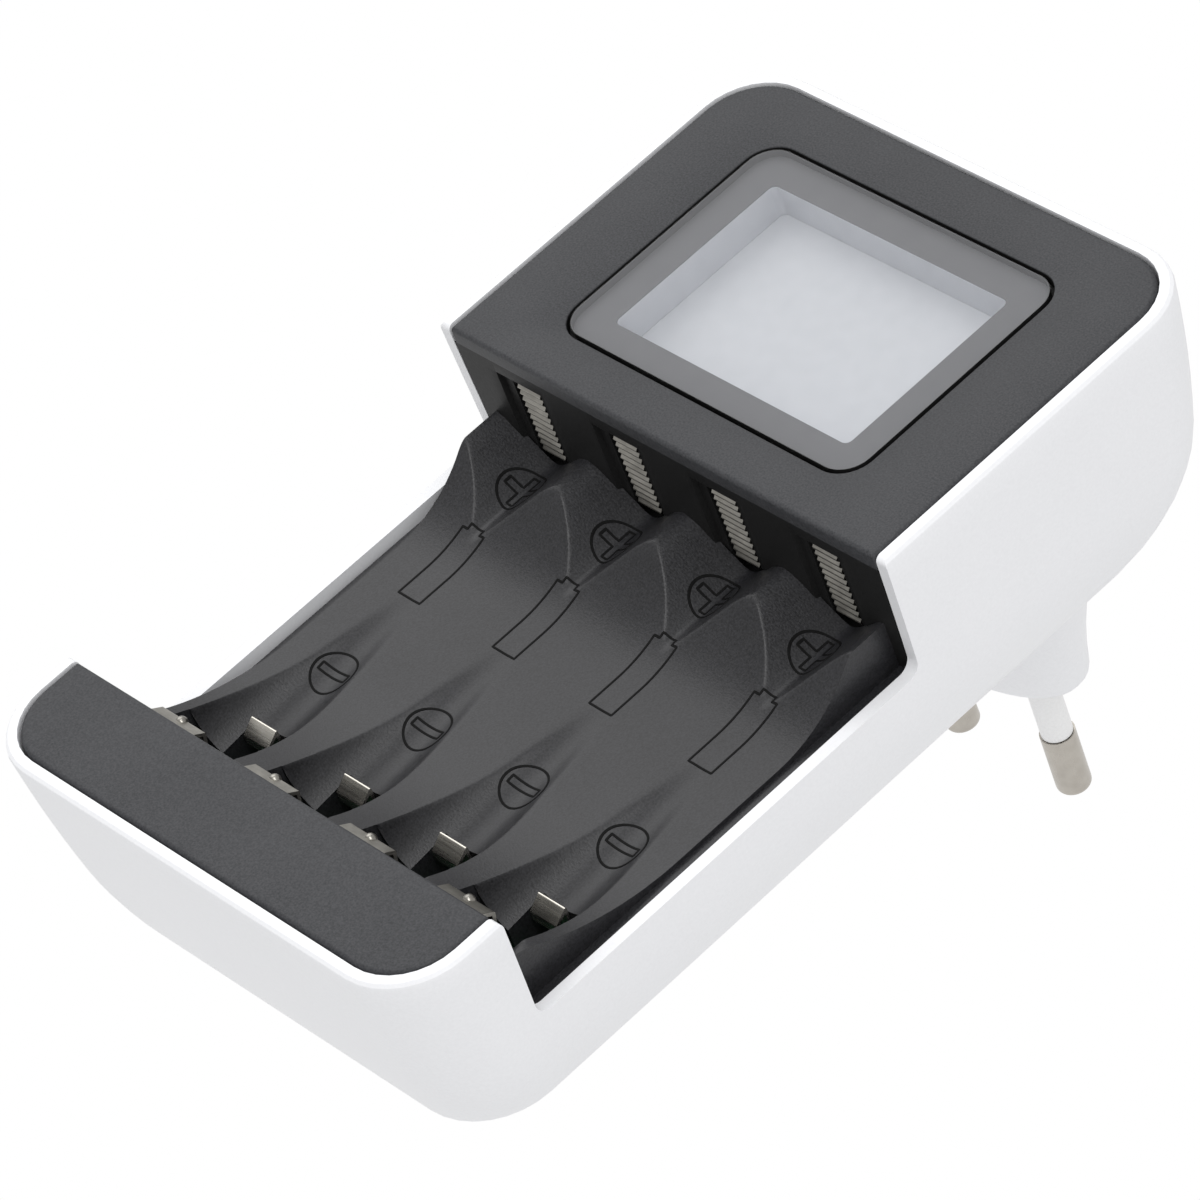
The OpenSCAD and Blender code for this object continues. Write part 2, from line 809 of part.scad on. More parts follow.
// A pin is turned: bare tip, thinner core under the sleeve, collar inside the plug.
module plug_pin(side) {
    tip = pin_diameter / 2;
    core = core_diameter / 2;
    color("silver")
        plug_axis(side)
            rotate_extrude() {
                translate([0, -pin_length])
                    square([tip - pin_round, pin_round]);
                translate([0, pin_round - pin_length])
                    square([tip, pin_length - sleeve_length - pin_round - fit]);
                intersection() {
                    translate([tip - pin_round, pin_round - pin_length])
                        circle(pin_round);
                    translate([0, -pin_length])
                        square([tip, pin_round]);
                }
                translate([0, -sleeve_length - 1])
                    square([core, sleeve_length + plug_wall + 5]);
                translate([0, plug_wall + 0.2])
                    square([tip, 1]);
            }
}

module plug_pin_left() {
    plug_pin(-1);
}

module plug_pin_right() {
    plug_pin(1);
}

module pin_sleeve(side) {
    color("white")
        plug_axis(side)
            rotate_extrude()
                translate([core_diameter / 2 + fit / 2, -sleeve_length])
                    square([(sleeve_diameter - core_diameter - fit) / 2, sleeve_length + plug_wall]);
}

module pin_sleeve_left() {
    pin_sleeve(-1);
}

module pin_sleeve_right() {
    pin_sleeve(1);
}

module housing_screws() {
    color("gray")
        at_step()
            for (p = screw_places())
                translate([p[0], p[1], -post_end - seat_thickness]) {
                    cylinder(r = screw_diameter / 2 - fit / 2, h = screw_length);
                    translate([0, 0, -head_height])
                        cylinder(r = screw_head / 2, h = head_height);
                }
}

// A strip drawn as straight runs between points, with round bends.
module bent_strip(points) {
    for (i = [0 : len(points) - 2]) {
        d = points[i + 1] - points[i];
        translate(points[i])
            rotate(atan2(d[1], d[0]))
                translate([0, -strip / 2])
                    square([norm(d), strip]);
    }
    for (p = points)
        translate(p)
            circle(strip / 2);
}

// The positive contact: a corrugated front and a leg behind the step wall.
module positive_contact(bay) {
    front = recess_depth + strip / 2;
    wave = 0.35;
    teeth = [for (i = [0 : 2 * corrugation_count])
        [front + wave * (i % 2), -positive_drop - corrugation / 2 * i]];
    low = teeth[2 * corrugation_count];
    leg = skin + fit + strip / 2;
    tail = [[leg, low[1] - 0.4], [leg, -board_top + strip / 2]];
    color("silver")
        at_step()
            translate([bay_x(bay), 0, 0])
                along_x(positive_width)
                    bent_strip(concat(teeth, tail));
}

module positive_contact_1() {
    positive_contact(1);
}

module positive_contact_2() {
    positive_contact(2);
}

module positive_contact_3() {
    positive_contact(3);
}

module positive_contact_4() {
    positive_contact(4);
}

// A bowed leaf with a dimple, on the main board under the lip's edge.
module aa_negative_contact(bay) {
    tail_rise = 0.8;
    tip = [-aa_reach - strip / 2, -aa_contact_drop];
    tail = [-aa_root, -aa_contact_drop + tail_rise];
    bow = [[-aa_root, contact_foot], [-aa_root, -cradle_drop], tip, tail];
    color("silver")
        at_step()
            translate([bay_x(bay), 0, 0]) {
                along_x(aa_contact_width)
                    bent_strip(bow);
                translate([0, -aa_reach - strip, -aa_contact_drop])
                    sphere(strip * 1.8);
            }
}

module aa_negative_contact_1() {
    aa_negative_contact(1);
}

module aa_negative_contact_2() {
    aa_negative_contact(2);
}

module aa_negative_contact_3() {
    aa_negative_contact(3);
}

module aa_negative_contact_4() {
    aa_negative_contact(4);
}

// A narrow leaf whose top is folded over towards the lip.
module aaa_negative_contact(bay) {
    foot_step = 0.8;
    leaf = -aaa_reach + (fold_length - strip) / 2;
    fold = [[leaf, -aaa_contact_drop - strip / 2],
        [leaf - fold_length + strip, -aaa_contact_drop - strip / 2 - fold_fall]];
    color("silver")
        at_step()
            translate([bay_x(bay), 0, 0])
                along_x(aaa_contact_width)
                    bent_strip([[leaf - foot_step, contact_foot], [leaf, -tray_bottom], fold[0], fold[1],
                        fold[1] - [0, fold_fall]]);
}

module aaa_negative_contact_1() {
    aaa_negative_contact(1);
}

module aaa_negative_contact_2() {
    aaa_negative_contact(2);
}

module aaa_negative_contact_3() {
    aaa_negative_contact(3);
}

module aaa_negative_contact_4() {
    aaa_negative_contact(4);
}

rear_housing();
front_cover();
display_lens();
lcd_frame();
lcd_glass();
backlight();
lcd_connector();
control_board();
control_chip();
control_board_screws();
board_header();
main_board();
transformer();
mains_capacitor();
output_capacitor();
rectifier();
fuse();
pin_lead_left();
pin_lead_right();
plug_pin_left();
plug_pin_right();
pin_sleeve_left();
pin_sleeve_right();
housing_screws();
positive_contact_1();
positive_contact_2();
positive_contact_3();
positive_contact_4();
aa_negative_contact_1();
aa_negative_contact_2();
aa_negative_contact_3();
aa_negative_contact_4();
aaa_negative_contact_1();
aaa_negative_contact_2();
aaa_negative_contact_3();
aaa_negative_contact_4();
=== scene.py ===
import bmesh
import bpy
import math
import numpy as np
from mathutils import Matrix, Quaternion, Vector


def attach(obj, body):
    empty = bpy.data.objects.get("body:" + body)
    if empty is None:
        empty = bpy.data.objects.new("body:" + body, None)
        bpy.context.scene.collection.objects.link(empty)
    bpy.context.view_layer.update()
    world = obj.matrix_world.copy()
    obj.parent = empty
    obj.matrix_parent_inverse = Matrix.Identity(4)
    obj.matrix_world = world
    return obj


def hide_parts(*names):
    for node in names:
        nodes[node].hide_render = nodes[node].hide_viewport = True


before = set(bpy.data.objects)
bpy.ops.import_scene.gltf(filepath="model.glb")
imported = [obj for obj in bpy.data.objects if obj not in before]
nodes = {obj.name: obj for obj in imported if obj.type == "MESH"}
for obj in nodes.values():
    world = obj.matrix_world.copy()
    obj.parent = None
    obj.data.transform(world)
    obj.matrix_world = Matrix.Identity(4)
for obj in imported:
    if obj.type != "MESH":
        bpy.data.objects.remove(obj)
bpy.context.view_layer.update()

# Plug pins and sleeves
# Two round brass pins with a nickel plate, turned thinner where a white plastic sleeve is moulded
# round the root of each one. Both lean in a little towards their tips.

MM = 0.001


class Shade:
    """One socket of a finish. Sums and products of shades become Math nodes."""

    def __init__(self, tree, socket=None):
        self.tree = tree
        self.socket = socket

    def node(self, kind, settings, sockets, output=0):
        made = self.tree.nodes.new("ShaderNode" + kind)
        for name, value in settings.items():
            setattr(made, name, value)
        for name, value in sockets.items():
            if isinstance(value, Shade):
                self.tree.links.new(value.socket, made.inputs[name])
            else:
                made.inputs[name].default_value = value
        return Shade(self.tree, made.outputs[output] if made.outputs else None)

    def _math(self, operation, first, second):
        return self.node("Math", {"operation": operation}, {0: first, 1: second})

    def __add__(self, other):
        return self._math("ADD", self, other)

    def __sub__(self, other):
        return self._math("SUBTRACT", self, other)

    def __mul__(self, other):
        return self._math("MULTIPLY", self, other)

    def __rsub__(self, other):
        return self._math("SUBTRACT", other, self)

    __radd__ = __add__
    __rmul__ = __mul__


def new_finish(name):
    material = bpy.data.materials.new(name)
    material.use_nodes = True
    material.node_tree.nodes.clear()
    return material, Shade(material.node_tree)


def settle(shade, surface):
    """Joins the last shader of a finish to its output."""
    shade.node("OutputMaterial", {}, {"Surface": surface})


def grain(shade, size, detail=2.0):
    """Noise with marks of about the given size in metres, from 0 to 1."""
    place = shade.node("TexCoord", {}, {}, "Object")
    return shade.node("TexNoise", {}, {"Vector": place, "Scale": 1 / size, "Detail": detail}, "Fac")


def bump(shade, height, depth):
    return shade.node("Bump", {}, {"Height": height, "Distance": depth, "Strength": 1.0}, "Normal")


def tint(shade, factor, dark, light):
    return shade.node("Mix", {"data_type": "RGBA"}, {0: factor, 6: (*dark, 1), 7: (*light, 1)}, 2)


def dress(node, material, crease=None):
    """Gives a node its finish; with a crease angle, its facets are smoothed up to that angle."""
    mesh = nodes[node].data
    mesh.materials.clear()
    mesh.materials.append(material)
    mesh.polygons.foreach_set("material_index", [0] * len(mesh.polygons))
    if crease:
        mesh.polygons.foreach_set("use_smooth", [True] * len(mesh.polygons))
        same_place = 0.002 * MM
        weld = nodes[node].modifiers.new("weld", "WELD")
        weld.merge_threshold = same_place
        split = nodes[node].modifiers.new("creases", "EDGE_SPLIT")
        split.split_angle = math.radians(crease)


def moulded(name, dark, light, rough, grain_size, grain_depth, shine=0.5):
    """Moulded plastic: a little cloudiness in the colour, and a fine eroded grain."""
    cloud_size, cloud_share, speck_share = 9 * MM, 0.3, 0.7
    speck_contrast, rough_spread, plastic_ior = 2.6, 0.16, 1.46
    material, shade = new_finish(name)
    cloud = grain(shade, cloud_size)
    fine = grain(shade, grain_size)
    speck = fine * speck_contrast - (speck_contrast - 1) / 2
    surface = shade.node("BsdfPrincipled", {}, {
        "Base Color": tint(shade, cloud * cloud_share + speck * speck_share, dark, light),
        "Roughness": fine * rough_spread + (rough - rough_spread / 2),
        "Normal": bump(shade, fine, grain_depth),
        "IOR": plastic_ior,
        "Specular IOR Level": shine})
    settle(shade, surface)
    return material


def plated(name, dark, light, rough, streak_axis):
    """Nickel plate: drawn streaks along one axis, with faint stains."""
    streaks_across, streaks_along = 2500.0, 120.0
    streak_depth, stain_size, rough_spread = 0.01 * MM, 1.5 * MM, 0.2
    material, shade = new_finish(name)
    place = shade.node("TexCoord", {}, {}, "Object")
    stretch = [streaks_across] * 3
    stretch[streak_axis] = streaks_along
    scaled = shade.node("VectorMath", {"operation": "MULTIPLY"}, {0: place, 1: stretch})
    streak = shade.node("TexNoise", {}, {"Vector": scaled, "Scale": 1.0, "Detail": 2.0}, "Fac")
    stain = grain(shade, stain_size)
    surface = shade.node("BsdfPrincipled", {}, {
        "Base Color": tint(shade, stain, dark, light),
        "Metallic": 1.0,
        "Roughness": streak * rough_spread + (rough - rough_spread / 2),
        "Normal": bump(shade, streak, streak_depth)})
    settle(shade, surface)
    return material


pin_metal = plated("pin_nickel", (0.42, 0.39, 0.35), (0.56, 0.53, 0.48), rough=0.3, streak_axis=2)
sleeve_white = moulded("sleeve_white", (0.80, 0.80, 0.80), (0.86, 0.86, 0.86), rough=0.4,
                       grain_size=0.3 * MM, grain_depth=0.004 * MM)
for side in ("left", "right"):
    dress(f"plug_pin_{side}", pin_metal, crease=35)
    dress(f"pin_sleeve_{side}", sleeve_white, crease=35)

# Rear housing
# A white moulded tub with drafted, rounded walls, and the plug shroud moulded on its back.
# Its rim drops beside the bays, so that the cells can be lifted out.

housing_white = moulded("housing_white", (0.80, 0.805, 0.825), (0.84, 0.845, 0.865), rough=0.36,
                        grain_size=0.35 * MM, grain_depth=0.006 * MM, shine=0.4)
dress("rear_housing", housing_white, crease=30)

# Boards and what stands on them
# Two green boards joined by a header: the control board under the display, and the main board
# under the bays with the mains parts. They show only through the contact slots.

board_green = moulded("board_green", (0.02, 0.09, 0.04), (0.03, 0.13, 0.06), rough=0.4,
                      grain_size=0.6 * MM, grain_depth=0.01 * MM)
black_moulding = moulded("black_moulding", (0.012, 0.012, 0.012), (0.02, 0.02, 0.02), rough=0.5,
                         grain_size=0.3 * MM, grain_depth=0.005 * MM)
winding_tape = moulded("winding_tape", (0.45, 0.30, 0.05), (0.55, 0.38, 0.08), rough=0.4,
                       grain_size=1.0 * MM, grain_depth=0.01 * MM)
can_sleeve = moulded("can_sleeve", (0.02, 0.024, 0.06), (0.03, 0.035, 0.08), rough=0.3,
                     grain_size=0.5 * MM, grain_depth=0.004 * MM)
fuse_ceramic = moulded("fuse_ceramic", (0.60, 0.52, 0.40), (0.70, 0.62, 0.48), rough=0.6,
                       grain_size=0.3 * MM, grain_depth=0.01 * MM)
lead_copper = plated("lead_copper", (0.55, 0.28, 0.16), (0.66, 0.36, 0.22), rough=0.35, streak_axis=2)
for node, finish in (
        ("control_board", board_green), ("main_board", board_green), ("control_chip", black_moulding),
        ("board_header", black_moulding), ("rectifier", black_moulding), ("transformer", winding_tape),
        ("mains_capacitor", can_sleeve), ("output_capacitor", can_sleeve), ("fuse", fuse_ceramic),
        ("pin_lead_left", lead_copper), ("pin_lead_right", lead_copper)):
    dress(node, finish)

# Cell contacts
# Strips of nickel plated spring steel: corrugated plates behind the step wall's slots, and at the
# negative end two sprung leaves for each bay, one for each length of cell.

contact_nickel = plated("contact_nickel", (0.66, 0.63, 0.56), (0.86, 0.83, 0.76), rough=0.26, streak_axis=0)
# Darker nickel. On the AA leaves it is painted shade, for the shade under the lip panel; the positive
# plates take the same darker tone.
dark_nickel_and_shade = plated("dark_nickel_and_shade", (0.22, 0.21, 0.19), (0.58, 0.56, 0.51), rough=0.34, streak_axis=0)
for bay in (1, 2, 3, 4):
    dress(f"positive_contact_{bay}", dark_nickel_and_shade)
    # Painted shade: the AA leaves get the darker nickel because they lie in the shade under the lip.
    dress(f"aa_negative_contact_{bay}", dark_nickel_and_shade, crease=40)
    dress(f"aaa_negative_contact_{bay}", contact_nickel, crease=40)

# Front cover
# One dark grey moulding with a fine eroded grain: the display bezel, the step wall with its four
# slots, the battery tray and the lip panel. Screws from the back pull it into the housing.

step_edge = np.array((0.0, -27.4, 53.0))
bay_pitch = 15.2
bay_places = [bay_pitch * (i - 1.5) for i in range(4)]
tray_half = 29.99
tray_bottom = -22.3
bay_end = -53.6
pit_edge = -46.5
pit_half = 5.7
fold_slot_edge = -41.25
fold_slot_half = 2.7
cover_skin = 2.0
far_above = 9.0
floor_level = -16.4
ridge_top = -10.7
scoop_start = -22.0
scoop_radius = 5.6
scoop_slope = math.tan(math.radians(5.3))
cradle_foot = -16.38
cradle_slope = 0.84
cradle_round = 1.0


def soft_min(a, b, width):
    """The lower of two heights, rounded off where they cross."""
    share = np.clip(0.5 + 0.5 * (b - a) / width, 0, 1)
    return b * (1 - share) + a * share - width * share * (1 - share)


def arc_rise(distance, radius):
    return radius - np.sqrt(radius ** 2 - np.clip(distance, 0, radius) ** 2)


def from_bay(x):
    """Distance to the middle of the nearest bay."""
    return np.abs((x + 2 * bay_pitch) % bay_pitch - bay_pitch / 2)


def floor_line(y):
    """Height of the tray along its length, without the cradles, ridges and scoops."""
    ramp_foot, ramp_radius, rise_start, rise_radius = -17.2, 16.0, -31.0, 37.0
    ramp = arc_rise(y - ramp_foot, ramp_radius)
    return floor_level + ramp + arc_rise(rise_start - y, rise_radius)


def scoop_bottom(y):
    return floor_level + scoop_slope * (y - scoop_start)


def tray_height(x, y):
    """Height of the tray's surface in millimetres, from the display face."""
    cradle_edge, ridge_edge, scoop_edge, scoop_fade = 0.3, 1.2, 0.3, 4.0
    u = from_bay(x)
    cradle = cradle_foot + cradle_slope * np.hypot(u, cradle_round)
    surface = soft_min(soft_min(floor_line(y), cradle, cradle_edge), ridge_top, ridge_edge)
    inside = np.sqrt(np.maximum(scoop_radius ** 2 - u ** 2, 0))
    in_scoop = (inside > 0) & (y < scoop_start + scoop_fade)
    scoop = np.where(in_scoop, scoop_bottom(y) + scoop_radius - inside, far_above)
    return soft_min(surface, scoop, scoop_edge)


def crest_half(y):
    """Distance from a bay's middle to the crest of its cradle, scoop or contact opening."""
    least, most = 1.0, 6.8
    line = np.minimum(floor_line(y), ridge_top)
    cradle = np.sqrt(np.maximum(((line - cradle_foot) / cradle_slope) ** 2 - cradle_round ** 2, 0))
    cradle = np.where(y > scoop_start, cradle, 0)
    depth = np.clip(np.where(y < scoop_start, line - scoop_bottom(y), 0), 0, scoop_radius)
    scoop = np.sqrt(depth * (2 * scoop_radius - depth))
    return np.where(y < pit_edge, pit_half, np.clip(np.maximum(cradle, scoop), least, most))


def spaced(low, high, pitch, marks):
    """Grid lines from low to high, with a line just either side of each mark."""
    beside = 0.02
    lines = np.linspace(low, high, int(round((high - low) / pitch)) + 1)
    edges = [m + side for m in marks for side in (-beside, beside) if low < m + side < high]
    lines = [v for v in lines if all(abs(v - e) > pitch / 4 for e in edges) or v in (low, high)]
    return np.array(sorted(set(lines) | set(edges)))


def slab(front, back, keep):
    """A closed sheet between two grids of points, without the cells that are left out."""
    rows, columns = front.shape[:2]
    points = np.concatenate([front.reshape(-1, 3), back.reshape(-1, 3)])
    number = np.arange(rows * columns).reshape(rows, columns)
    under = rows * columns
    faces = []
    padded = np.pad(keep, 1)
    for i, j in zip(*np.nonzero(keep)):
        a, b, c, d = number[i, j], number[i + 1, j], number[i + 1, j + 1], number[i, j + 1]
        faces.append((a, b, c, d))
        faces.append((under + d, under + c, under + b, under + a))
        for empty, p, q in ((not padded[i, j + 1], d, a), (not padded[i + 2, j + 1], b, c),
                            (not padded[i + 1, j], a, b), (not padded[i + 1, j + 2], c, d)):
            if empty:
                faces.append((q, p, under + p, under + q))
    return points, faces


def tray_columns(y):
    """Places across the tray for each row, closest together beside the crests."""
    slot_share, inner_count, crest_count, crowding = 0.54, 8, 10, 1.7
    crest = crest_half(y)
    slot_line = np.minimum(fold_slot_half, slot_share * crest)
    even = np.linspace(0, 1, inner_count)[:, None]
    close = np.linspace(0, 1, crest_count)[:, None] ** crowding
    flank = slot_line + (crest - slot_line) * (1 - close[-2::-1])
    inner = np.concatenate([slot_line * even, flank])
    ridge = crest + (bay_pitch / 2 - crest) * close[1:]
    outer = crest + (tray_half - bay_places[3] - crest) * close[1:]
    columns = []
    for i, bay in enumerate(bay_places):
        left = np.concatenate([inner, outer if i == 0 else ridge[:-1]])
        right = np.concatenate([inner, outer if i == 3 else ridge])
        columns += [bay - left[:0:-1], bay + right]
    return np.concatenate(columns)


def tray_shell():
    row_pitch, overlap = 0.32, 0.5
    rows = spaced(bay_end - overlap, overlap, row_pitch, [pit_edge, fold_slot_edge, bay_end])
    x = tray_columns(rows)
    y = np.broadcast_to(rows, x.shape)
    front = np.stack([x, y, tray_height(x, y)], 2)
    back = np.stack([x, y, np.full_like(x, tray_bottom)], 2)
    u, v = ((g[1:, 1:] + g[1:, :-1] + g[:-1, 1:] + g[:-1, :-1]) / 4 for g in (x, y))
    u = from_bay(u)
    pit = (u < pit_half) & (v < pit_edge) & (v > bay_end)
    slot = (u < fold_slot_half) & (v < fold_slot_edge) & (v > bay_end)
    return slab(front, back, ~(pit | slot))


def side_in(depth):
    """How far the drafted side has come in at a depth below the display face."""
    draft, bow = 0.045, 0.0008
    return draft * depth + bow * depth ** 2


def wall_shell():
    half, top = 32.7, -cover_skin
    recess_half, recess_top, recess_low, recess_depth = 3.7, -3.6, -16.0, 0.6
    slot_half, slot_top, slot_low, edge, grid_pitch = 2.25, -4.2, -16.3, 0.12, 1.5
    steps = (recess_half - edge, recess_half + edge, recess_half, slot_half)
    xs = spaced(-half, half, grid_pitch, [b + s * e for b in bay_places for s in (-1, 1) for e in steps])
    zs = spaced(tray_bottom, top, grid_pitch, [slot_top, slot_low] + [
        z + s for z in (recess_top, recess_low) for s in (-edge, 0, edge)])
    x, z = np.meshgrid(xs, zs, indexing="ij")
    inside = np.minimum(recess_half - from_bay(x), np.minimum(z - recess_low, recess_top - z))
    share = np.clip((inside + edge) / (2 * edge), 0, 1)
    y = recess_depth * share ** 2 * (3 - 2 * share)
    x = np.clip(x, side_in(-z) - half, half - side_in(-z))
    front = np.stack([x, y, z], 2)
    back = np.stack([x, np.full_like(x, cover_skin), z], 2)
    u = from_bay((xs[1:] + xs[:-1])[:, None] / 2)
    v = (zs[1:] + zs[:-1])[None, :] / 2
    return slab(front, back, ~((u < slot_half) & (v < slot_top) & (v > slot_low)))


def outline(middle, half, radii, z, inset=0.0, count=10):
    """A rounded rectangle as points at one height, from the far right corner round to the left."""
    least_radius = 0.03
    points = []
    for k, (sx, sy) in enumerate(((1, 1), (-1, 1), (-1, -1), (1, -1))):
        radius = max(radii[k] - inset, least_radius)
        cx = middle[0] + sx * (half[0] - inset - radius)
        cy = middle[1] + sy * (half[1] - inset - radius)
        for i in range(count):
            turn = math.radians(90 * k + 90 * i / (count - 1))
            points.append((cx + radius * math.cos(turn), cy + radius * math.sin(turn), z))
    return points


def loft(rings, ring_shaped=False):
    """A skin over rings of points; ring_shaped joins the last one to the first."""
    count = len(rings[0])
    points = np.array([p for ring in rings for p in ring])
    faces = []
    for r in range(len(rings) if ring_shaped else len(rings) - 1):
        low, high = r * count, (r + 1) % len(rings) * count
        for k in range(count):
            n = (k + 1) % count
            faces.append((low + k, low + n, high + n, high + k))
    if not ring_shaped:
        faces.append(tuple(range(count))[::-1])
        faces.append(tuple(range((len(rings) - 1) * count, len(rings) * count)))
    return points, faces


def rolled_edge(middle, half, radii, z, roll, steps=5):
    """Rings that roll a plate's top into its side."""
    turns = [math.radians(90 * i / steps) for i in range(steps + 1)]
    return [outline(middle, half, radii, z - roll * (1 - math.cos(t)), roll * (1 - math.sin(t)))
            for t in turns]


lens_middle = (0.0, 22.1)
lens_place = (22.65, 16.15)
lens_place_corner = [3.75] * 4


def bezel_shell():
    plate_half, plate_end, corner, front_corner = 32.607, 45.11, 7.0, 0.35
    roll, ease = 0.55, 0.12
    middle, half = (0.0, plate_end / 2), (plate_half, plate_end / 2)
    radii = (corner, corner, front_corner, front_corner)
    rings = [outline(lens_middle, lens_place, lens_place_corner, z, inset)
             for z, inset in ((-cover_skin, 0), (-ease, 0), (-ease / 3, -ease / 3), (0, -ease))]
    rings += rolled_edge(middle, half, radii, 0.0, roll)
    rings.append(outline(middle, half, radii, -cover_skin))
    return loft(rings, ring_shaped=True)


def lens_seat_shell():
    top, seat, ledge, root, lining = -0.13, -1.4, 2.6, -0.4, 0.01
    rings = [outline(lens_middle, lens_place, lens_place_corner, z, inset)
             for z, inset in ((top, lining), (seat, lining), (seat, ledge), (-cover_skin, ledge),
                              (-cover_skin, root), (top, root))]
    return loft(rings, ring_shaped=True)


def lip_shell():
    lip_top, lip_half, lip_end, corner, inner_corner, roll = -1.6, 32.607, -65.28, 7.0, 0.35, 0.5
    middle = (0.0, (bay_end + lip_end) / 2)
    half = (lip_half, (bay_end - lip_end) / 2)
    radii = (inner_corner, inner_corner, corner, corner)
    rings = rolled_edge(middle, half, radii, lip_top, roll)
    rings.append(outline(middle, half, radii, lip_top - cover_skin))
    return loft(rings[::-1])


def lip_wall_shell():
    top, half, levels, hidden_face = -3.6, 32.7, 6, bay_end - cover_skin
    rings = []
    for z in np.linspace(tray_bottom, top, levels):
        x = half - side_in(-z)
        rings.append(((x, bay_end, z), (-x, bay_end, z), (-x, hidden_face, z), (x, hidden_face, z)))
    return loft(rings)


def flange_shell(side):
    overlap, outer, top, low, roll, roll_steps = 0.4, 31.25, -16.9, -18.5, 0.15, 3
    corners = [0.2] * 4
    inner = tray_half - overlap
    middle = (side * (inner + outer) / 2, bay_end / 2)
    half = ((outer - inner) / 2, -bay_end / 2 + overlap)
    rings = rolled_edge(middle, half, corners, top, roll, roll_steps)
    rings.append(outline(middle, half, corners, low))
    return loft(rings[::-1])


def solid_piece(name, shells_by_finish, sharp):
    """One object from closed skins given in millimetres from the step edge."""
    points, faces, finish_of_face, start = [], [], [], 0
    mesh = bpy.data.meshes.new(name)
    for index, (material, shells) in enumerate(shells_by_finish):
        mesh.materials.append(material)
        for shell_points, shell_faces in shells:
            points.append(shell_points)
            faces += [tuple(int(start + i) for i in face) for face in shell_faces]
            finish_of_face += [index] * len(shell_faces)
            start += len(shell_points)
    mesh.from_pydata(((np.concatenate(points) + step_edge) * MM).tolist(), [], faces)
    mesh.polygons.foreach_set("use_smooth", [True] * len(faces))
    mesh.polygons.foreach_set("material_index", finish_of_face)
    turned = bmesh.new()
    turned.from_mesh(mesh)
    bmesh.ops.recalc_face_normals(turned, faces=turned.faces)
    turned.to_mesh(mesh)
    turned.free()
    mesh.set_sharp_from_angle(angle=math.radians(sharp))
    piece = bpy.data.objects.new(name, mesh)
    bpy.context.scene.collection.objects.link(piece)
    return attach(piece, "charger")


def mark_ribbons():
    """The raised lines in the tray: plus and minus signs in circles, and an outline of a cell."""
    width, flat_share, lift, step = 0.36, 0.6, 0.05, 0.15
    sign_radius, arm, arm_half, circle_sides = 2.65, 2.05, 0.46, 48
    plus_y, minus_y = -4.4, -32.6
    (cell_left, cell_right), (cell_foot, cell_head) = (-2.0, 1.4), (-21.2, -11.4)
    (nub_left, nub_right), nub_end = (-1.2, 0.6), cell_head + 0.7
    turns = np.linspace(0, 2 * math.pi, circle_sides + 1)[:-1]
    circle = [(sign_radius * math.cos(t), sign_radius * math.sin(t)) for t in turns]
    quarter = [(arm, arm_half), (arm_half, arm_half), (arm_half, arm)]
    plus = [(x * c - y * s, x * s + y * c)
            for c, s in ((1, 0), (0, 1), (-1, 0), (0, -1)) for x, y in quarter]
    minus = [(arm, arm_half), (-arm, arm_half), (-arm, -arm_half), (arm, -arm_half)]
    cell = [(cell_left, cell_foot), (cell_right, cell_foot), (cell_right, cell_head),
            (nub_right, cell_head), (nub_right, nub_end), (nub_left, nub_end), (nub_left, cell_head),
            (cell_left, cell_head)]
    shapes = ((circle, plus_y), (plus, plus_y), (circle, minus_y), (minus, minus_y), (cell, 0.0))
    shells = []
    for bay in bay_places:
        for shape, y in shapes:
            corners = np.array(shape) + (bay, y)
            ahead = np.roll(corners, -1, 0)
            lengths = np.linalg.norm(ahead - corners, axis=1)
            counts = np.maximum(1, np.ceil(lengths / step).astype(int))
            line = np.concatenate([a + (b - a) * np.arange(n)[:, None] / n
                                   for a, b, n in zip(corners, ahead, counts)])
            along = np.roll(line, -1, 0) - np.roll(line, 1, 0)
            along /= np.linalg.norm(along, axis=1)[:, None]
            across = np.stack([along[:, 1], -along[:, 0]], 1) * width / 2
            rows = []
            for offset, rise in ((1, -lift), (flat_share, lift), (-flat_share, lift), (-1, -lift)):
                p = line + offset * across
                rows.append(np.column_stack([p, tray_height(p[:, 0], p[:, 1]) + rise]))
            shells.append(loft(list(zip(*rows)), ring_shaped=True))
    return shells


cover_grey = moulded("cover_grey", (0.026, 0.027, 0.030), (0.066, 0.067, 0.072), rough=0.5,
                     grain_size=0.22 * MM, grain_depth=0.02 * MM, shine=0.35)
# The tray has a glossier grain than the bezel; its darker grey is painted shade, for the shade in its
# cradles and scoops.
shaded_tray_grey = moulded("shaded_tray_grey", (0.006, 0.006, 0.007), (0.034, 0.034, 0.038), rough=0.38,
                    grain_size=0.22 * MM, grain_depth=0.025 * MM, shine=0.6)
# Painted shade: the step wall, the wall under the lip and the lens seat are the same moulding as the bezel,
# in a darker copy of its grey that stands in for the shade on them.
shaded_wall_grey = moulded("shaded_wall_grey", (0.012, 0.012, 0.012), (0.018, 0.018, 0.018), rough=0.5,
                    grain_size=0.3 * MM, grain_depth=0.01 * MM, shine=0.2)
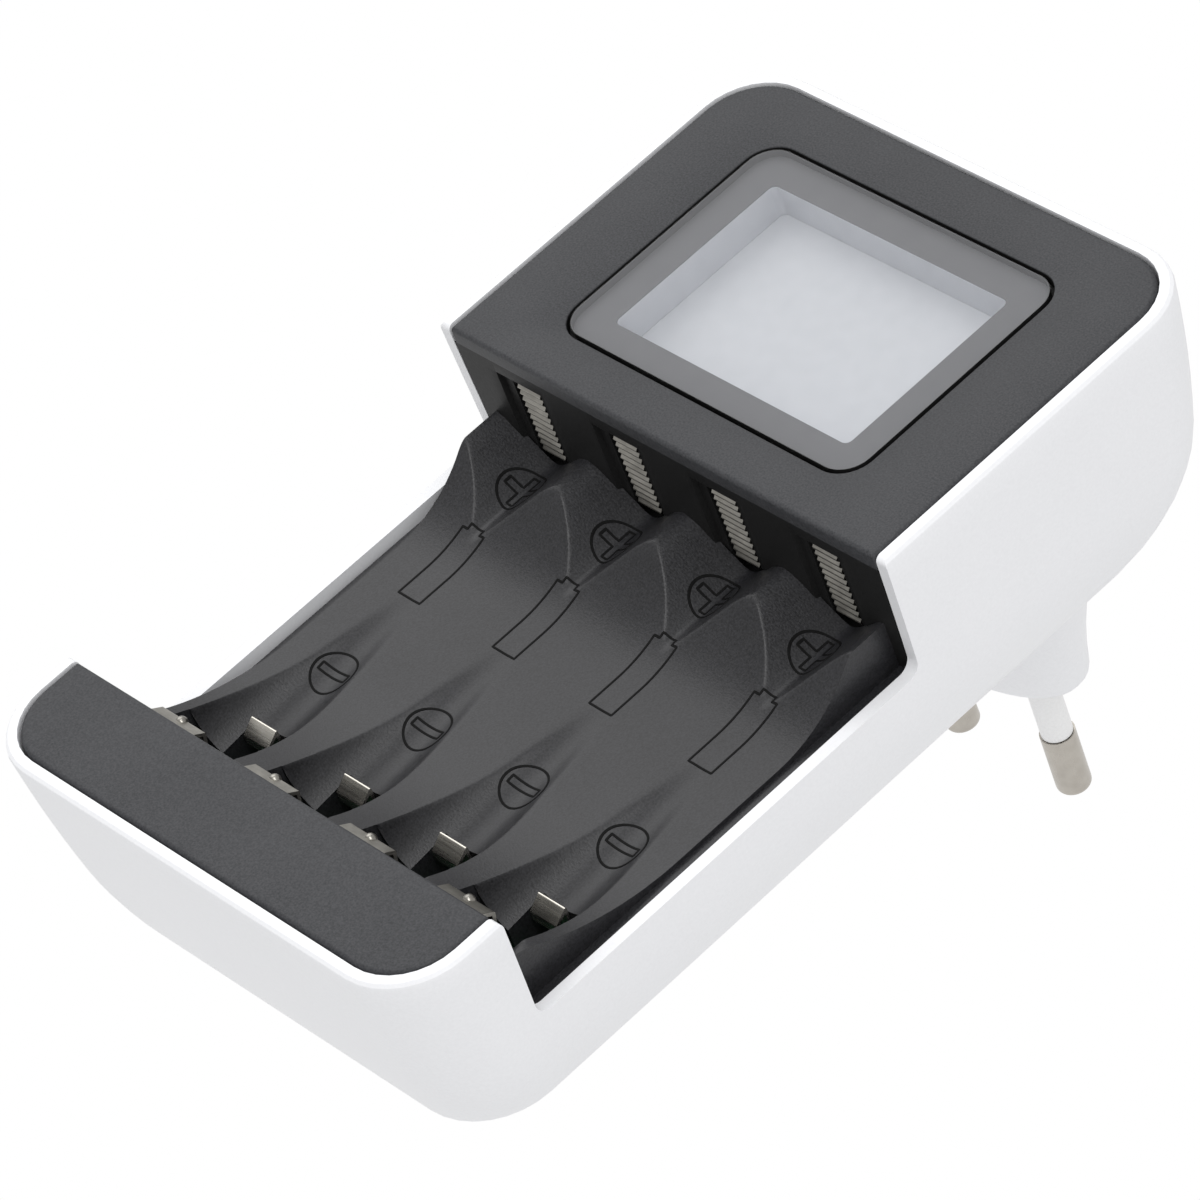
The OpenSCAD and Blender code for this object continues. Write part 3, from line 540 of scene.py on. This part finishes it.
# Painted shade: the raised marks are the tray's own plastic; their near-black stands in for the shade along
# their edges.
mark_painted_shade = moulded("mark_painted_shade", (0.006, 0.006, 0.006), (0.010, 0.010, 0.010), rough=0.6,
                    grain_size=0.3 * MM, grain_depth=0.004 * MM, shine=0.1)
shells_by_finish = (
    (cover_grey, [bezel_shell(), lip_shell()]),
    (shaded_tray_grey, [tray_shell(), flange_shell(-1), flange_shell(1)]),
    (shaded_wall_grey, [wall_shell(), lip_wall_shell(), lens_seat_shell()]))
cover = solid_piece("front_cover_moulding", shells_by_finish, sharp=38)
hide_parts("front_cover")
marks = solid_piece("tray_marks", ((mark_painted_shade, mark_ribbons()),), sharp=30)

# Display
# A liquid crystal glass sits in a pale frame, over its backlight and a rubber contact strip.
# A clear lens with a grey border printed on its back lies flush in the bezel.

frame_pale = moulded("frame_pale", (0.50, 0.515, 0.55), (0.54, 0.555, 0.59), rough=0.5,
                     grain_size=2.0 * MM, grain_depth=0.004 * MM)
lcd_grey = moulded("lcd_grey", (0.46, 0.475, 0.505), (0.49, 0.505, 0.535), rough=0.4,
                   grain_size=2.0 * MM, grain_depth=0.0, shine=0.2)
rubber_strip = moulded("rubber_strip", (0.30, 0.28, 0.25), (0.36, 0.34, 0.30), rough=0.7,
                       grain_size=0.4 * MM, grain_depth=0.01 * MM)
dress("lcd_frame", frame_pale)
dress("backlight", frame_pale)
dress("lcd_glass", lcd_grey)
dress("lcd_connector", rubber_strip)
lens_clear, lens_shade = new_finish("lens_clear")
lens_gloss = lens_shade.node("BsdfGlossy", {}, {"Roughness": 0.3})
lens_through = lens_shade.node("BsdfTransparent", {}, {})
lens_mirror = lens_shade.node("Fresnel", {}, {"IOR": 1.45})
lens_back = lens_shade.node("NewGeometry", {}, {}, "Backfacing")
settle(lens_shade, lens_shade.node("MixShader", {}, {
    0: lens_mirror * (1 - lens_back), 1: lens_through, 2: lens_gloss}))
dress("display_lens", lens_clear, crease=40)

print_grey = moulded("print_grey", (0.130, 0.132, 0.140), (0.140, 0.142, 0.150), rough=0.8,
                     grain_size=2.0 * MM, grain_depth=0.0, shine=0.0)
lens_half, lens_corner = (22.15, 15.65), 3.25
print_window, window_corner = (17.82, 11.78), 0.8
edge_top, print_top, print_low = -0.02, -0.9, -0.95
gap_shade_width, print_start, print_wall = 0.02, 0.03, 0.06
print_rings = [outline(lens_middle, half, [corner] * 4, z, inset)
               for half, corner, z, inset in (
                   (lens_half, lens_corner, edge_top, print_start),
                   (lens_half, lens_corner, edge_top, print_wall),
                   (lens_half, lens_corner, print_top, print_wall),
                   (print_window, window_corner, print_top, 0),
                   (print_window, window_corner, print_low, 0),
                   (lens_half, lens_corner, print_low, print_start))]
# Painted shade: a thin near-black band on the lens's outer side stands in for the shadow in the gap round
# the lens.
gap_shade_rings = [outline(lens_middle, lens_half, [lens_corner] * 4, z, inset)
              for z, inset in ((edge_top, 0), (edge_top, gap_shade_width),
                               (print_low, gap_shade_width), (print_low, 0))]
wall_top, wall_low, wall_face, wall_root = -0.96, -4.97, -0.02, -0.4
frame_rings = [outline(lens_middle, print_window, [window_corner] * 4, z, inset)
               for z, inset in ((wall_top, wall_face), (wall_low, wall_face),
                                (wall_low, wall_root), (wall_top, wall_root))]
wall_shells = ((frame_pale, [loft(frame_rings, ring_shaped=True)]),)
frame_walls = solid_piece("lcd_frame_walls", wall_shells, sharp=30)
print_shells = ((print_grey, [loft(print_rings, ring_shaped=True)]),
                (shaded_wall_grey, [loft(gap_shade_rings, ring_shaped=True)]))
lens_print = solid_piece("lens_print", print_shells, sharp=30)

# Screws
# Four zinc plated screws hold the housing to the cover, and four small ones the control board.

screw_zinc = plated("screw_zinc", (0.40, 0.40, 0.40), (0.52, 0.52, 0.52), rough=0.35, streak_axis=0)
dress("housing_screws", screw_zinc, crease=40)
dress("control_board_screws", screw_zinc, crease=40)

# Floor, light and camera
# A pale floor well below the part, a white surround, a narrow soft light overhead and a large one
# far to the left. A long lens looks down over the lip and the right side of the housing.

floor_drop = 0.32
floor_half = 6.0
floor_mesh = bpy.data.meshes.new("floor")
floor_mesh.from_pydata([(x * floor_half, y * floor_half, -floor_drop)
                        for x, y in ((-1, -1), (1, -1), (1, 1), (-1, 1))], [], [(0, 1, 2, 3)])
floor = bpy.data.objects.new("floor", floor_mesh)
bpy.context.scene.collection.objects.link(floor)


def seen_directly(shade):
    """1 for rays that show the background, straight on or through glass."""
    path = shade.node("LightPath", {}, {}, "Is Camera Ray")
    through = shade.node("LightPath", {}, {}, "Is Transmission Ray")
    return path + through


floor_pale, floor_shade = new_finish("floor_pale")
floor_body = floor_shade.node("BsdfDiffuse", {}, {"Color": (0.8, 0.8, 0.8, 1)})
floor_glow = floor_shade.node("Emission", {}, {"Color": (1, 1, 1, 1), "Strength": 1.0})
settle(floor_shade, floor_shade.node("MixShader", {}, {
    0: seen_directly(floor_shade), 1: floor_body, 2: floor_glow}))
floor_mesh.materials.append(floor_pale)

world = bpy.data.worlds.new("surround")
bpy.context.scene.world = world
world.use_nodes = True
world.node_tree.nodes.clear()
sky = Shade(world.node_tree)
sky_soft = sky.node("Background", {}, {"Color": (1, 1, 1, 1), "Strength": 0.9})
sky_dim = sky.node("Background", {}, {"Color": (1, 1, 1, 1), "Strength": 0.5})
sky_white = sky.node("Background", {}, {"Color": (1, 1, 1, 1), "Strength": 1.0})
sky_mirrored = sky.node("LightPath", {}, {}, "Is Glossy Ray")
sky_lit = sky.node("MixShader", {}, {0: sky_mirrored, 1: sky_soft, 2: sky_dim})
sky_mix = sky.node("MixShader", {}, {0: seen_directly(sky), 1: sky_lit, 2: sky_white})
sky.node("OutputWorld", {}, {"Surface": sky_mix})


def softbox(name, place, aim, size, power):
    lamp = bpy.data.lights.new(name, "AREA")
    lamp.shape = "RECTANGLE"
    lamp.size, lamp.size_y = size
    lamp.energy = power
    obj = bpy.data.objects.new(name, lamp)
    obj.location = place
    obj.rotation_euler = (Vector(aim) - Vector(place)).to_track_quat("-Z", "Y").to_euler()
    bpy.context.scene.collection.objects.link(obj)


tray_middle = (0, -0.03, 0.03)
softbox("overhead", (0.32, -0.1, 0.9), tray_middle, size=(0.12, 0.9), power=2.7)
softbox("far_left", (-0.75, 0.35, 0.8), tray_middle, size=(0.9, 0.9), power=3.2)

camera_eye = Vector((500.17, -298.75, 539.19)) * MM
camera_aim = Vector((-1.933, -39.121, 39.047)) * MM
camera_roll = math.radians(-22.479)
camera_data = bpy.data.cameras.new("camera")
camera_data.lens = 222.865
camera_data.sensor_width = 36.0
camera_data.clip_start = 0.01
camera_data.clip_end = 50.0
camera = bpy.data.objects.new("camera", camera_data)
level = (camera_aim - camera_eye).to_track_quat("-Z", "Y")
camera.rotation_mode = "QUATERNION"
camera.rotation_quaternion = level @ Quaternion((0, 0, 1), camera_roll)
camera.location = camera_eye
bpy.context.scene.collection.objects.link(camera)
bpy.context.scene.camera = camera
bpy.context.scene.view_settings.view_transform = "Standard"
